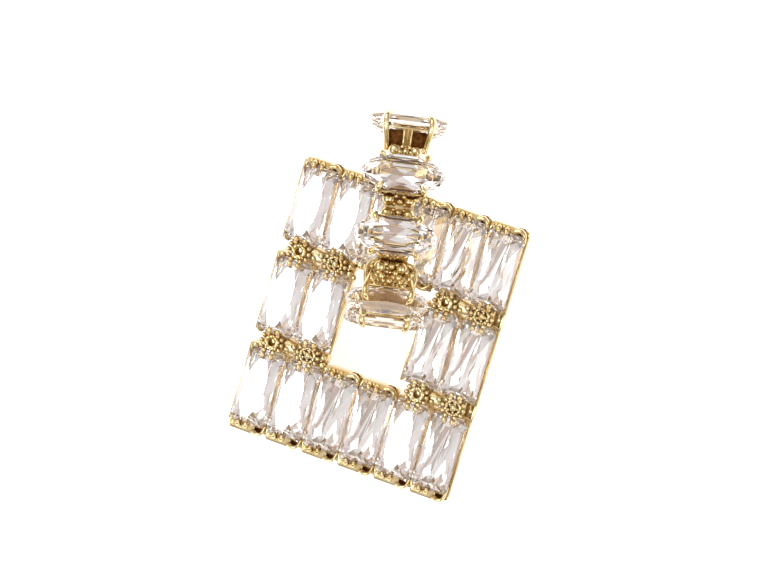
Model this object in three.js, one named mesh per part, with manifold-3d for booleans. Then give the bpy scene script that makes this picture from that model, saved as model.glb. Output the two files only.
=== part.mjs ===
// Crystal stud earring: a half hoop of marquise crystals on an ear post, with a square drop of
// baguette crystals that hangs round the hoop. Millimetres, +Z up.
// The earring lies on a table, on the tip of its ear post and the lower back edge of its drop.
// X runs along the lower edge of the drop, and +Y from that edge towards the ear post.
// The origin is on the table, under the middle of the whole earring.
import * as THREE from 'three';
import { ConvexGeometry } from 'three/addons/geometries/ConvexGeometry.js';
import { mergeVertices } from 'three/addons/utils/BufferGeometryUtils.js';
import Module from 'manifold-3d';

const wasm = await Module();
wasm.setup();

// Crystals, each with its girdle plane at z = 0
const BAGUETTE_WIDTH = 2.95;
const BAGUETTE_LENGTH = 6.0;
const MARQUISE_WIDTH = 3.0;
const MARQUISE_LENGTH = 6.0;

// Clearance between a crystal and the metal that holds it
const SEAT_GAP = 0.08;

// Square drop: three rows of trays six columns wide, with a window where the middle row is broken
const COLUMN_PITCH = 3.05;
const ROW_PITCH = 7.65;
const MIDDLE_COLUMN = 3.5;
const MIDDLE_ROW = 2;
const RUNS = [
  { row: 1, first: 1, last: 6 },
  { row: 2, first: 1, last: 2 },
  { row: 2, first: 5, last: 6 },
  { row: 3, first: 1, last: 6 },
];

// Tray of a baguette crystal, measured from the girdle plane
const TRAY_LENGTH = 6.96;
const TRAY_BACK = -2.4;
const TRAY_NOTCH = 0.28;
const SIDE_WALL = 0.26;
const SIDE_WALL_TOP = -0.62;
const END_WALL = 0.4;
const LEDGE_WIDTH = 0.3;
const LEDGE_TOP = -2.0;

// Solder drops that join the rows of trays
const SOLDER_RADIUS = 0.42;
const SOLDER_OFFSET = 0.95;
const SOLDER_TOP = -0.2;
const SOLDER_BOTTOM = -1.6;
const SOLDER_SIDES = 6;

// Half hoop: where each cup faces, in degrees above the front; the middle cup is at the front
const CUP_ANGLES = [91, 21, 0, -51, -86];
const FRONT_CUP = 2;
const CUP_SPACING = 3.87;

// Rail under the cups: a flat band that goes on past the last cup to a free end
const RAIL_WIDTH = 2.4;
const RAIL_THICKNESS = 0.5;
const RAIL_OVERLAP = 0.1;
const RAIL_START = { angle: 91, distance: 1.8 };
const RAIL_END = { angle: -104, distance: 3.2 };
const RAIL_STEPS = 20;

// Claw cup of a marquise crystal, measured from the girdle plane
const CUP_BASE = { width: 3.4, length: 2.3, low: -2.3, high: -1.9 };
const CUP_GALLERY = { width: 3.9, length: 3.0, low: -0.6, high: -0.22 };
const CUP_WALL = 0.42;
const CUP_COLUMN = { width: 0.7, inner: 0.9, outer: 1.28 };

// Claws
const MARQUISE_CLAW_RADIUS = 0.27;
const CLAW_SIDES = 5;

// Ear post, straight back from the upper end of the rail
const POST_RADIUS = 0.4;
const POST_FRONT = -4.6;
const POST_LENGTH = 11.4;
const POST_TAPER = 0.5;
const POST_TIP_RADIUS = 0.22;

// How the two halves lie: turns in degrees, and the hoop's centre from the drop's centre in mm
const DROP_PITCH = 19.2;
const HOOP_LEAN = 12.19;
const HOOP_ROLL = 9.02;
const HOOP_TURN = 13.38;
const HOOP_ACROSS = 0.34;
const HOOP_BEYOND = 6.75;

const { degToRad } = THREE.MathUtils;
const gold = () => new THREE.MeshStandardMaterial({ color: 0xd8b877, roughness: 0.2, metalness: 1 });
const crystal = () => new THREE.MeshStandardMaterial({ color: 0xf1ebe7, roughness: 0.03, metalness: 0 });

const ACROSS = new THREE.Vector3(1, 0, 0);

// Both signs of x and y, for what repeats in four corners
const CORNERS = [[1, 1], [-1, 1], [-1, -1], [1, -1]];

// Solid of a closed three.js geometry, put in place by a matrix
function solidOf(geometry, matrix = new THREE.Matrix4()) {
  const bare = geometry.clone().applyMatrix4(matrix);
  bare.deleteAttribute('normal');
  bare.deleteAttribute('uv');
  const merged = mergeVertices(bare, 1e-5);
  const vertProperties = new Float32Array(merged.attributes.position.array);
  const triVerts = new Uint32Array(merged.index.array);
  return new wasm.Manifold(new wasm.Mesh({ numProp: 3, vertProperties, triVerts }));
}

function unionOf(solids) {
  return solids.reduce((sum, solid) => sum.add(solid));
}

// Named mesh of a solid
function meshOf(name, solid, material) {
  const { vertProperties, triVerts } = solid.getMesh();
  const geometry = new THREE.BufferGeometry();
  geometry.setAttribute('position', new THREE.BufferAttribute(new Float32Array(vertProperties), 3));
  geometry.setIndex(new THREE.BufferAttribute(new Uint32Array(triVerts), 1));
  const mesh = new THREE.Mesh(geometry, material);
  mesh.name = name;
  return mesh;
}

// Block between two heights, centred on x and y
function block(width, length, low, high, x = 0, y = 0) {
  const place = new THREE.Matrix4().makeTranslation(x, y, (low + high) / 2);
  return solidOf(new THREE.BoxGeometry(width, length, high - low), place);
}

// Outline extruded between two heights
function prism(shape, low, high, x = 0, y = 0) {
  const place = new THREE.Matrix4().makeTranslation(x, y, low);
  return solidOf(new THREE.ExtrudeGeometry(shape, { depth: high - low, bevelEnabled: false }), place);
}

// Rectangle with rounded corners
function roundedRectangle(width, length, radius, segments) {
  const points = CORNERS.flatMap(([sx, sy], corner) => (
    Array.from({ length: segments + 1 }, (_, i) => {
      const angle = degToRad(90 * (corner + i / segments));
      const x = sx * (width / 2 - radius) + radius * Math.cos(angle);
      const y = sy * (length / 2 - radius) + radius * Math.sin(angle);
      return new THREE.Vector2(x, y);
    })
  ));
  return new THREE.Shape(points);
}

// Flat frame: a rounded rectangle with a wall of even width
function frame({ width, length, low, high }, wall, radius) {
  const outer = prism(roundedRectangle(width, length, radius, 2), low, high);
  return outer.subtract(block(width - 2 * wall, length - 2 * wall, low - 1, high + 1));
}

// Round wire along a smooth path
function wire(points, radius, steps) {
  const section = Array.from({ length: CLAW_SIDES }, (_, i) => {
    const angle = (2 * Math.PI * (i + 0.5)) / CLAW_SIDES;
    return new THREE.Vector2(radius * Math.cos(angle), radius * Math.sin(angle));
  });
  const extrudePath = new THREE.CatmullRomCurve3(points.map((point) => new THREE.Vector3(...point)));
  const options = { steps, extrudePath, bevelEnabled: false };
  return solidOf(new THREE.ExtrudeGeometry(new THREE.Shape(section), options));
}

// Corners of a rectangle with its corners cut off, at one height
function cutRectangle({ z, halfWidth, halfLength, cutWidth, cutLength }) {
  return CORNERS.flatMap(([sx, sy]) => [
    new THREE.Vector3(sx * halfWidth, sy * (halfLength - cutLength), z),
    new THREE.Vector3(sx * (halfWidth - cutWidth), sy * halfLength, z),
  ]);
}

// Points of a boat shape with two pointed ends along x, at one height
function boat({ z, halfWidth, halfLength, count, turn }) {
  return Array.from({ length: count }, (_, i) => {
    const angle = (2 * Math.PI * (i + turn)) / count;
    const side = Math.sin(angle) * Math.abs(Math.sin(angle));
    return new THREE.Vector3(halfLength * Math.cos(angle), halfWidth * side, z);
  });
}

// Facet rings of the crystals, from the table down to the keel
const BAGUETTE_HALF = { halfWidth: BAGUETTE_WIDTH / 2, halfLength: BAGUETTE_LENGTH / 2 };
const BAGUETTE_RINGS = [
  { z: 0.55, halfWidth: 0.88, halfLength: 2.42, cutWidth: 0.6, cutLength: 1.35 },
  { z: 0.36, halfWidth: 1.2, halfLength: 2.74, cutWidth: 0.4, cutLength: 0.5 },
  { z: 0.08, ...BAGUETTE_HALF, cutWidth: 0.28, cutLength: 0.28 },
  { z: -0.08, ...BAGUETTE_HALF, cutWidth: 0.28, cutLength: 0.28 },
  { z: -0.8, halfWidth: 0.95, halfLength: 2.3, cutWidth: 0.2, cutLength: 0.2 },
  { z: -1.5, halfWidth: 0.14, halfLength: 1.5, cutWidth: 0.1, cutLength: 0.1 },
];
const MARQUISE_HALF = { halfWidth: MARQUISE_WIDTH / 2, halfLength: MARQUISE_LENGTH / 2 };
const MARQUISE_RINGS = [
  { z: 0.52, halfWidth: 0.82, halfLength: 1.7, count: 8, turn: 0 },
  { z: 0.34, halfWidth: 1.2, halfLength: 2.5, count: 8, turn: 0.5 },
  { z: 0.07, ...MARQUISE_HALF, count: 16, turn: 0 },
  { z: -0.07, ...MARQUISE_HALF, count: 16, turn: 0 },
  { z: -0.85, halfWidth: 0.8, halfLength: 1.9, count: 8, turn: 0.5 },
  { z: -1.5, halfWidth: 0.1, halfLength: 0.6, count: 4, turn: 0 },
];

// Crystal as the convex hull of its facet rings; grow makes it larger all round
function crystalSolid(rings, outline, grow = 0) {
  const points = rings.flatMap((ring) => outline({
    ...ring,
    z: ring.z + Math.sign(ring.z) * grow,
    halfWidth: ring.halfWidth + grow,
    halfLength: ring.halfLength + grow,
  }));
  return solidOf(new ConvexGeometry(points));
}

const baguette = crystalSolid(BAGUETTE_RINGS, cutRectangle);
const marquise = crystalSolid(MARQUISE_RINGS, boat);
const marquiseSeat = crystalSolid(MARQUISE_RINGS, boat, SEAT_GAP);

// Centre of a tray, with columns and rows counted from 1 at the upper left
const columnX = (column) => (column - MIDDLE_COLUMN) * COLUMN_PITCH;
const rowY = (row) => (MIDDLE_ROW - row) * ROW_PITCH;

const CELLS = RUNS.flatMap(({ row, first, last }) => (
  Array.from({ length: last - first + 1 }, (_, i) => ({ column: first + i, row }))
));

// Plain block of a run of trays, with a notch at each joint between two trays
function runBlock({ row, first, last }) {
  const left = columnX(first) - COLUMN_PITCH / 2;
  const right = columnX(last) + COLUMN_PITCH / 2;
  const edge = [];
  for (let x = left; x < right - COLUMN_PITCH / 2; x += COLUMN_PITCH) {
    edge.push([x, TRAY_NOTCH], [x + TRAY_NOTCH, 0], [x + COLUMN_PITCH - TRAY_NOTCH, 0]);
  }
  edge.push([right, TRAY_NOTCH]);
  const lower = edge.map(([x, y]) => new THREE.Vector2(x, y - TRAY_LENGTH / 2));
  const upper = edge.map(([x, y]) => new THREE.Vector2(left + right - x, TRAY_LENGTH / 2 - y));
  return prism(new THREE.Shape([...lower, ...upper]), TRAY_BACK, SIDE_WALL_TOP, 0, rowY(row));
}

// What is hollow in a tray: the pocket under the crystal and the opening in the back
function trayHollow() {
  const width = COLUMN_PITCH - 2 * SIDE_WALL;
  const length = TRAY_LENGTH - 2 * END_WALL;
  const back = block(width - 2 * LEDGE_WIDTH, length - 2 * LEDGE_WIDTH, TRAY_BACK - 1, 1);
  return block(width, length, LEDGE_TOP, 1).add(back);
}

// End wall of a tray: its top rises to a shoulder on each side of the claws
function endWall() {
  const profile = [
    { x: 0.7, z: -0.05 },
    { x: 1.0, z: 0.12 },
    { x: 1.25, z: -0.1 },
    { x: 1.25, z: SIDE_WALL_TOP - 0.1 },
  ];
  const right = profile.map(({ x, z }) => new THREE.Vector2(x, z));
  const left = profile.toReversed().map(({ x, z }) => new THREE.Vector2(-x, z));
  const shape = new THREE.Shape([...right, ...left]);
  const upright = new THREE.Matrix4().makeRotationX(Math.PI / 2);
  const place = new THREE.Matrix4().makeTranslation(0, TRAY_LENGTH / 2, 0);
  const geometry = new THREE.ExtrudeGeometry(shape, { depth: END_WALL, bevelEnabled: false });
  return solidOf(geometry, place.multiply(upright));
}

// Pair of claws at one short end of a baguette crystal, leaning together over its end facet:
// each is the convex hull of cross lines from its root in the end wall to its tip
function endClaws() {
  const lines = [
    { x: 0.52, y: 3.22, z: -0.12, halfWidth: 0.22 },
    { x: 0.52, y: 3.46, z: -0.12, halfWidth: 0.22 },
    { x: 0.52, y: 3.46, z: 0.2, halfWidth: 0.22 },
    { x: 0.48, y: 3.3, z: 0.6, halfWidth: 0.14 },
    { x: 0.36, y: 2.6, z: 0.72, halfWidth: 0.2 },
    { x: 0.36, y: 2.76, z: 0.88, halfWidth: 0.1 },
  ];
  return unionOf([-1, 1].map((side) => {
    const points = lines.flatMap(({ x, y, z, halfWidth }) => (
      [-1, 1].map((edge) => new THREE.Vector3(side * x + edge * halfWidth, y, z))
    ));
    return solidOf(new ConvexGeometry(points));
  }));
}

// Solder drops between a tray and the next one below
function solderDrops() {
  const height = SOLDER_TOP - SOLDER_BOTTOM;
  const upright = new THREE.Matrix4().makeRotationX(Math.PI / 2);
  const bead = new THREE.CylinderGeometry(SOLDER_RADIUS, SOLDER_RADIUS, height, SOLDER_SIDES);
  bead.applyMatrix4(upright);
  return unionOf([-1, 1].map((side) => {
    const z = SOLDER_BOTTOM + height / 2;
    return solidOf(bead, new THREE.Matrix4().makeTranslation(side * SOLDER_OFFSET, -ROW_PITCH / 2, z));
  }));
}

// The square drop, upright in its own frame: rows across x, claws towards +z
function makeDrop() {
  const group = new THREE.Group();
  const at = (solid, { column, row }) => solid.translate([columnX(column), rowY(row), 0]);
  const end = endWall().add(endClaws());
  const ends = end.add(end.rotate([0, 0, 180]));
  const hollow = trayHollow();
  const solder = solderDrops();
  const joined = CELLS.filter(({ column, row }) => (
    CELLS.some((below) => below.column === column && below.row === row + 1)
  ));
  const setting = unionOf(RUNS.map(runBlock))
    .subtract(unionOf(CELLS.map((cell) => at(hollow, cell))))
    .add(unionOf(CELLS.map((cell) => at(ends, cell))))
    .add(unionOf(joined.map((cell) => at(solder, cell))));
  group.add(meshOf('drop_setting', setting, gold()));
  for (const { column, row } of CELLS) {
    const stone = meshOf(`baguette_${column}_${row}`, baguette, crystal());
    stone.position.set(columnX(column), rowY(row), 0);
    group.add(stone);
  }
  return group;
}

// Next place on the rail, in the hoop's side view: x towards the front and y up
function along({ place, angle }, nextAngle, distance) {
  const course = degToRad((angle + nextAngle) / 2 + 90);
  const step = new THREE.Vector2(Math.cos(course), Math.sin(course)).multiplyScalar(distance);
  return { place: place.clone().add(step), angle: nextAngle };
}

// Places of the cups' bases, from the top cup to the last one
function cupStations() {
  const stations = [];
  stations[FRONT_CUP] = { place: new THREE.Vector2(0, 0), angle: CUP_ANGLES[FRONT_CUP] };
  for (let i = FRONT_CUP - 1; i >= 0; i -= 1) {
    stations[i] = along(stations[i + 1], CUP_ANGLES[i], CUP_SPACING);
  }
  for (let i = FRONT_CUP + 1; i < CUP_ANGLES.length; i += 1) {
    stations[i] = along(stations[i - 1], CUP_ANGLES[i], -CUP_SPACING);
  }
  return stations;
}

// Rail of the hoop: a band along the bases of the cups
function rail(stations) {
  const first = along(stations[0], RAIL_START.angle, RAIL_START.distance);
  const last = along(stations.at(-1), RAIL_END.angle, -RAIL_END.distance);
  const path = new THREE.SplineCurve([first, ...stations, last].map(({ place }) => place));
  const edge = (inward) => Array.from({ length: RAIL_STEPS + 1 }, (_, i) => {
    const point = path.getPointAt(i / RAIL_STEPS);
    const course = path.getTangentAt(i / RAIL_STEPS);
    return new THREE.Vector2(-point.x - course.y * inward, point.y - course.x * inward);
  });
  const shape = new THREE.Shape([...edge(-RAIL_OVERLAP), ...edge(RAIL_THICKNESS).reverse()]);
  const geometry = new THREE.ExtrudeGeometry(shape, { depth: RAIL_WIDTH, bevelEnabled: false });
  const turn = new THREE.Matrix4().makeRotationY(Math.PI / 2);
  const place = new THREE.Matrix4().makeTranslation(-RAIL_WIDTH / 2, 0, 0);
  return solidOf(geometry, place.multiply(turn));
}

// Claw cup of one marquise crystal: base frame, gallery frame, two columns and four claws
function cup() {
  const columns = [-1, 1].map((side) => {
    const thickness = CUP_COLUMN.outer - CUP_COLUMN.inner;
    const y = side * (CUP_COLUMN.inner + thickness / 2);
    return block(CUP_COLUMN.width, thickness, CUP_BASE.low + 0.1, CUP_GALLERY.high - 0.1, 0, y);
  });
  const claws = CORNERS.map(([sx, sy]) => wire([
    [sx * 1.5, sy * 0.95, -2.25],
    [sx * 1.7, sy * 1.25, -0.6],
    [sx * 1.72, sy * 1.28, 0.1],
    [sx * 1.62, sy * 1.12, 0.42],
    [sx * 1.42, sy * 0.82, 0.52],
  ], MARQUISE_CLAW_RADIUS, 4));
  const frames = [frame(CUP_BASE, CUP_WALL, 0.5), frame(CUP_GALLERY, CUP_WALL, 0.8)];
  return unionOf([...frames, ...columns, ...claws]).subtract(marquiseSeat);
}

// Ear post with a tapered tip
function earPost(height) {
  const profile = [
    new THREE.Vector2(0, 0),
    new THREE.Vector2(POST_RADIUS, 0),
    new THREE.Vector2(POST_RADIUS, POST_LENGTH - POST_TAPER),
    new THREE.Vector2(POST_TIP_RADIUS, POST_LENGTH),
    new THREE.Vector2(0, POST_LENGTH),
  ];
  const back = new THREE.Matrix4().makeRotationX(-Math.PI / 2);
  const place = new THREE.Matrix4().makeTranslation(0, height, POST_FRONT);
  return solidOf(new THREE.LatheGeometry(profile, 12), place.multiply(back));
}

// The half hoop, in its own frame: z along its axis to the front, y up, x across
function makeHoop() {
  const group = new THREE.Group();
  const stations = cupStations();
  const cupModel = cup().translate([0, 0, -CUP_BASE.low]);
  const cups = stations.map(({ place, angle }) => (
    cupModel.rotate([-angle, 0, 0]).translate([0, place.y, place.x])
  ));
  const postHeight = stations[0].place.y - RAIL_THICKNESS / 2;
  group.add(meshOf('hoop_setting', unionOf([rail(stations), earPost(postHeight), ...cups]), gold()));
  stations.forEach(({ place, angle }, i) => {
    const stone = meshOf(`marquise_${i + 1}`, marquise, crystal());
    const outward = new THREE.Vector3(0, 0, -CUP_BASE.low).applyAxisAngle(ACROSS, -degToRad(angle));
    stone.rotation.x = -degToRad(angle);
    stone.position.copy(outward).add(new THREE.Vector3(0, place.y, place.x));
    group.add(stone);
  });
  return group;
}

// Lifts a group until its lowest point is on the table
function standOnTable(group) {
  group.position.z -= new THREE.Box3().setFromObject(group, true).min.z;
}

const drop = makeDrop();
drop.rotation.x = degToRad(DROP_PITCH);
standOnTable(drop);

const hoop = makeHoop();
hoop.rotation.set(degToRad(HOOP_LEAN), degToRad(HOOP_ROLL), degToRad(HOOP_TURN), 'ZYX');
hoop.position.set(HOOP_ACROSS, HOOP_BEYOND, 0);
standOnTable(hoop);

const earring = new THREE.Group();
earring.add(hoop, drop);
const middle = new THREE.Box3().setFromObject(earring, true).getCenter(new THREE.Vector3());
earring.position.set(-middle.x, -middle.y, 0);

export default earring;
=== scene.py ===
import math

import bmesh
import bpy
from mathutils import Euler, Matrix, Vector


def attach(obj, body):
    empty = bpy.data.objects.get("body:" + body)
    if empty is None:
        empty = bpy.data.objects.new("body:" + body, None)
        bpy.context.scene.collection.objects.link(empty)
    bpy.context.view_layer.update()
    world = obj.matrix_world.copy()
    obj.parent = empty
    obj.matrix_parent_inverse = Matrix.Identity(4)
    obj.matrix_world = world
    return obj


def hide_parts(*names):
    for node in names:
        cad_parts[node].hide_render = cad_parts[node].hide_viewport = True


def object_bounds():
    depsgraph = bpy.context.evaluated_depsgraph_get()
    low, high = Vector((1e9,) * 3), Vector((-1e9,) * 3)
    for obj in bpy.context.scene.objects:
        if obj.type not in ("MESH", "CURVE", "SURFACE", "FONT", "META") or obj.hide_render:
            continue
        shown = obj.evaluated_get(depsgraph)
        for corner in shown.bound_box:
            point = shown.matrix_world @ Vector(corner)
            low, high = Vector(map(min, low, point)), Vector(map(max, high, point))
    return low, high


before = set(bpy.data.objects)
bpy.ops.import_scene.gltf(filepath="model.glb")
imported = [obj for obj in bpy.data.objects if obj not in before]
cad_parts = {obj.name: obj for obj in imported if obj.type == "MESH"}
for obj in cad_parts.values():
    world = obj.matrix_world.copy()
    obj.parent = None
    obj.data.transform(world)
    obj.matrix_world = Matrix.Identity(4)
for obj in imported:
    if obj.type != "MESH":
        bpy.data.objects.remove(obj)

bl_info = {
    "name": "Crystal drop earring",
    "version": (1, 0, 0),
    "blender": (4, 5, 0),
    "location": "3D View > Sidebar > Earring",
    "description": "Dresses the solids of a half-hoop earring with a square baguette drop",
    "category": "Object",
}

CAD_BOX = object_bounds()
MM = 0.001
BODY = "root"

# How the two halves lie, in degrees: the drop's pitch, and the half hoop's lean, roll and twist
DROP_PITCH = 19.2
HOOP_LEAN = 12.19
HOOP_ROLL = 9.02
HOOP_TWIST = 13.38
DROP_TURN = Euler((math.radians(DROP_PITCH), 0, 0)).to_matrix()
HOOP_TURN = Euler([math.radians(angle) for angle in (HOOP_LEAN, HOOP_ROLL, HOOP_TWIST)]).to_matrix()

# Where each cup of the half hoop faces, in degrees above the front
CUP_ANGLES = (91, 21, 0, -51, -86)
CUPS = range(1, len(CUP_ANGLES) + 1)

# Crystals: where their middle lies from their girdle, and half a baguette's length, in mm
BAGUETTE_MIDDLE = -0.475
MARQUISE_MIDDLE = -0.49
BAGUETTE_END = 3.0

# Square drop: six columns and three rows, the middle row broken by a window, in mm
COLUMN_PITCH = 3.05
ROW_PITCH = 7.65
ROWS = {1: (1, 2, 3, 4, 5, 6), 2: (1, 2, 5, 6), 3: (1, 2, 3, 4, 5, 6)}
LOWEST_ROW = max(ROWS)
CELLS = [(column, row) for row, columns in ROWS.items() for column in columns]
JOINTS = [(column, row) for column, row in CELLS if (column, row + 1) in CELLS]
JOINT_GAP = ROW_PITCH - 2 * BAGUETTE_END

# An edge that rises less counts as level, in mm, and one that folds more counts as sharp, in radians
LEVEL = 1e-4
SHARP = 1.0


def linear(code):
    """Linear colour, with alpha, of an sRGB hex code."""
    channels = [int(code[i : i + 2], 16) / 255 for i in (1, 3, 5)]
    return (*(c / 12.92 if c <= 0.04045 else ((c + 0.055) / 1.055) ** 2.4 for c in channels), 1.0)


def user_size(name, description, millimetres):
    """A length that a user may change."""
    return bpy.props.FloatProperty(
        name=name, description=description, default=millimetres * MM, min=0.0, unit="LENGTH"
    )


def user_colour(name, description, code):
    """A colour that a user may change."""
    return bpy.props.FloatVectorProperty(
        name=name, description=description, default=linear(code), size=4, min=0, max=1, subtype="COLOR"
    )


class EarringSizes(bpy.types.PropertyGroup):
    claw: user_size("Claw", "Radius of a claw that holds a baguette", 0.24)
    cup_claw: user_size("Cup claw", "Radius of a claw that holds a marquise", 0.24)
    end: user_size("End ledge", "Depth of the ledge beyond a baguette at a free end", 0.62)
    bead: user_size("Bead", "Radius of a bead in the clusters between the trays", 0.24)
    wall: user_size("Tray wall", "Thickness of a tray's long walls", 0.24)
    side: user_size("Side wall", "Thickness of the wall along the drop's long sides and window", 0.18)
    corner: user_size("Tray corner", "Radius of a tray's outer corners", 0.45)


class EarringColours(bpy.types.PropertyGroup):
    gold: user_colour("Gold", "Plating where it is thick", "#EEDDB1")
    worn_gold: user_colour("Thin gold", "Plating where it is thinner", "#DEC289")
    # Painted shade: the dark colour the gold turns to in its hollows, and the lighter brown of the painted
    # shade inside the cups
    hollow_shade: user_colour("Shade_in_hollows", "Dark film left in the hollows of the gold", "#754B22")
    # Painted shade: the dark brown of the cups' inner walls and of the ledges' curls
    shade: user_colour("Shade", "Dark brown of the bare inner walls", "#4A2C14")
    crystal: user_colour("Crystal", "Body colour of the crystals", "#FDFBFB")
    # Painted reflection: a warm gold tint streaked through the crystals' colour
    gold_reflection_paint: user_colour("Gold_reflection", "Warm streaks in the crystals", "#F3E8E6")
    floor: user_colour("Floor", "White board under the earring", "#F7F6F4")


# Meshes


def girdle_frame(node, turn, middle):
    """Matrix from a crystal's own axes, in mm with its girdle at z = 0, to its place in the frame."""
    corners = [turn.inverted() @ v.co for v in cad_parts[node].data.vertices]
    low, high = (Vector(pick(c[i] for c in corners) for i in range(3)) for pick in (min, max))
    centre = turn @ ((low + high) / 2 - Vector((0, 0, middle * MM)))
    return Matrix.Translation(centre) @ turn.to_4x4() @ Matrix.Scale(MM, 4)


def baguette_place(column, row):
    """Place of a tray, and of its crystal before it leans."""
    return girdle_frame(f"baguette_{column}_{row}", DROP_TURN, BAGUETTE_MIDDLE)


# How far some crystals lean in their trays, about their width and their length, in degrees
LEANS = {
    (3, 1): (0, 3.5),
    (4, 1): (0, 4.0),
    (5, 1): (0.5, 3.5),
    (6, 1): (0, 2.0),
    (5, 2): (0, 2.4),
    (6, 2): (0.5, 3.2),
    (3, 3): (0, 2.6),
    (4, 3): (0.5, 1.6),
}


def crystal_place(column, row):
    """Place of a baguette crystal, which may lean a little in its tray."""
    wide, long = (math.radians(degrees) for degrees in LEANS.get((column, row), (0, 0)))
    return baguette_place(column, row) @ Euler((wide, long, 0)).to_matrix().to_4x4()


def marquise_place(number):
    """Place of a cup and its crystal."""
    tilt = Matrix.Rotation(math.radians(-CUP_ANGLES[number - 1]), 3, "X")
    return girdle_frame(f"marquise_{number}", HOOP_TURN @ tilt, MARQUISE_MIDDLE)


def finish_piece(name, bm, material, nodes=(), sharp=None):
    """Makes a mesh piece of a bmesh in metres, and lets it ride on the earring.

    It takes the place of the given nodes. It is smooth but for edges over the sharp angle, in
    degrees, or has flat facets where none is given.
    """
    bmesh.ops.recalc_face_normals(bm, faces=bm.faces)
    mesh = bpy.data.meshes.new(name)
    bm.to_mesh(mesh)
    bm.free()
    for polygon in mesh.polygons:
        polygon.use_smooth = sharp is not None
    if sharp is not None:
        mesh.set_sharp_from_angle(angle=math.radians(sharp))
    mesh.materials.append(material)
    piece = bpy.data.objects.new(name, mesh)
    bpy.context.scene.collection.objects.link(piece)
    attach(piece, BODY)
    if nodes:
        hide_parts(*nodes)


def copies(part, places):
    """One bmesh with a copy of a part, in mm, at each place."""
    whole = bmesh.new()
    model = bpy.data.meshes.new("model")
    part.to_mesh(model)
    part.free()
    for place in places:
        start = len(whole.verts)
        whole.from_mesh(model)
        whole.verts.ensure_lookup_table()
        bmesh.ops.transform(whole, matrix=place, verts=whole.verts[start:])
    bpy.data.meshes.remove(model)
    return whole


def edges_at(verts):
    """Edges that meet at any of these corners."""
    return {edge for vert in verts for edge in vert.link_edges}


def rise(edge):
    """How far an edge climbs from one end to the other."""
    low, high = edge.verts
    return abs(high.co.z - low.co.z)


def soften(bm, edges, radius, segments=2):
    """Rounds edges, and gives the new corners."""
    return bmesh.ops.bevel(
        bm,
        geom=edges,
        offset=radius,
        offset_type="OFFSET",
        affect="EDGES",
        segments=segments,
        profile=0.5,
        material=-1,
    )["verts"]


def stations(path, across=None):
    """Frames along a path, each turned with the one before, or all square to one direction."""
    frames = []
    for i, point in enumerate(path):
        course = (path[min(i + 1, len(path) - 1)] - path[max(i - 1, 0)]).normalized()
        if across:
            side = (across - course * across.dot(course)).normalized()
            turned = Matrix((side, course.cross(side), course)).transposed()
        elif frames:
            turn = frames[-1].to_3x3().col[2].rotation_difference(course).to_matrix()
            turned = turn @ frames[-1].to_3x3()
        else:
            turned = course.to_track_quat("Z", "Y").to_matrix()
        frames.append(Matrix.Translation(point) @ turned.to_4x4())
    return frames


def sweep(bm, path, scales, segments=10, square=1.0, across=None):
    """Bar along a path, with its half width and half depth at each point.

    Its section is round where square is 1, and nearer to a rectangle the smaller it is.
    """
    path = [Vector(point) for point in path]
    ring = bmesh.ops.create_circle(bm, segments=segments, radius=1.0)["verts"]
    for vert in ring:
        vert.co.x = math.copysign(abs(vert.co.x) ** square, vert.co.x)
        vert.co.y = math.copysign(abs(vert.co.y) ** square, vert.co.y)
    first = list(edges_at(ring))
    edges = first
    before = Matrix.Identity(4)
    for step, (place, (wide, deep)) in enumerate(zip(stations(path, across), scales)):
        after = place @ Matrix.Diagonal((wide, deep, 1, 1))
        if step:
            made = bmesh.ops.extrude_edge_only(bm, edges=edges)["geom"]
            ring = [item for item in made if isinstance(item, bmesh.types.BMVert)]
            edges = [item for item in made if isinstance(item, bmesh.types.BMEdge)]
        bmesh.ops.transform(bm, matrix=after @ before.inverted(), verts=ring)
        before = after
    bmesh.ops.edgeloop_fill(bm, edges=first)
    bmesh.ops.edgeloop_fill(bm, edges=edges)


def hollow_pad(bm, size, centre, rim, depth):
    """Oval pad with a hollow in its top, inside a rim whose edges are rounded."""
    place = Matrix.Translation(centre) @ Matrix.Diagonal((*size, 1))
    made = bmesh.ops.create_cone(
        bm, cap_ends=True, segments=20, radius1=0.5, radius2=0.5, depth=1, matrix=place
    )["verts"]
    highest = max(v.co.z for v in made)
    faces = {f for v in made for f in v.link_faces}
    top = next(f for f in faces if all(abs(v.co.z - highest) < LEVEL for v in f.verts))
    outer = list(top.edges)
    bmesh.ops.inset_individual(bm, faces=[top], thickness=rim, depth=0, use_even_offset=True)
    inner = list(top.edges)
    slope = 0.04
    bmesh.ops.inset_individual(bm, faces=[top], thickness=slope, depth=-depth, use_even_offset=True)
    soften(bm, outer + inner, 0.45 * rim, segments=3)


def block(bm, size, centre, soft, corner=0.0):
    """Block with soft edges and, as seen from above, rounded corners, both given by their radii."""
    place = Matrix.Translation(centre) @ Matrix.Diagonal((*size, 1))
    verts = bmesh.ops.create_cube(bm, size=1, matrix=place)["verts"]
    if corner:
        upright = [edge for edge in edges_at(verts) if rise(edge) > LEVEL]
        made = soften(bm, upright, corner, segments=4)
        verts = list({v for v in verts if v.is_valid} | set(made))
    soften(bm, [edge for edge in edges_at(verts) if edge.calc_face_angle(0) > SHARP], soft)


def smooth_path(points, steps):
    """Points along a smooth curve through the given ones."""
    points = [Vector(point) for point in points]
    ends = [2 * points[0] - points[1], *points, 2 * points[-1] - points[-2]]
    path = []
    for a, b, c, d in zip(ends, ends[1:], ends[2:], ends[3:]):
        square = 2 * a - 5 * b + 4 * c - d
        cube = 3 * b - a - 3 * c + d
        for i in range(steps):
            t = i / steps
            path.append(0.5 * (2 * b + (c - a) * t + square * t**2 + cube * t**3))
    return [*path, points[-1]]


def rounded(count, radius):
    """Half width and half depth at each point of a round bar that ends in a ball."""
    # The last points lie this far out on the ball, in parts of its radius
    reaches = (0.35, 0.65, 0.88, 0.99)
    tail = [radius * math.sqrt(1 - reach * reach) for reach in reaches]
    return [(r, r) for r in [radius] * (count - len(tail)) + tail]


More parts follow.
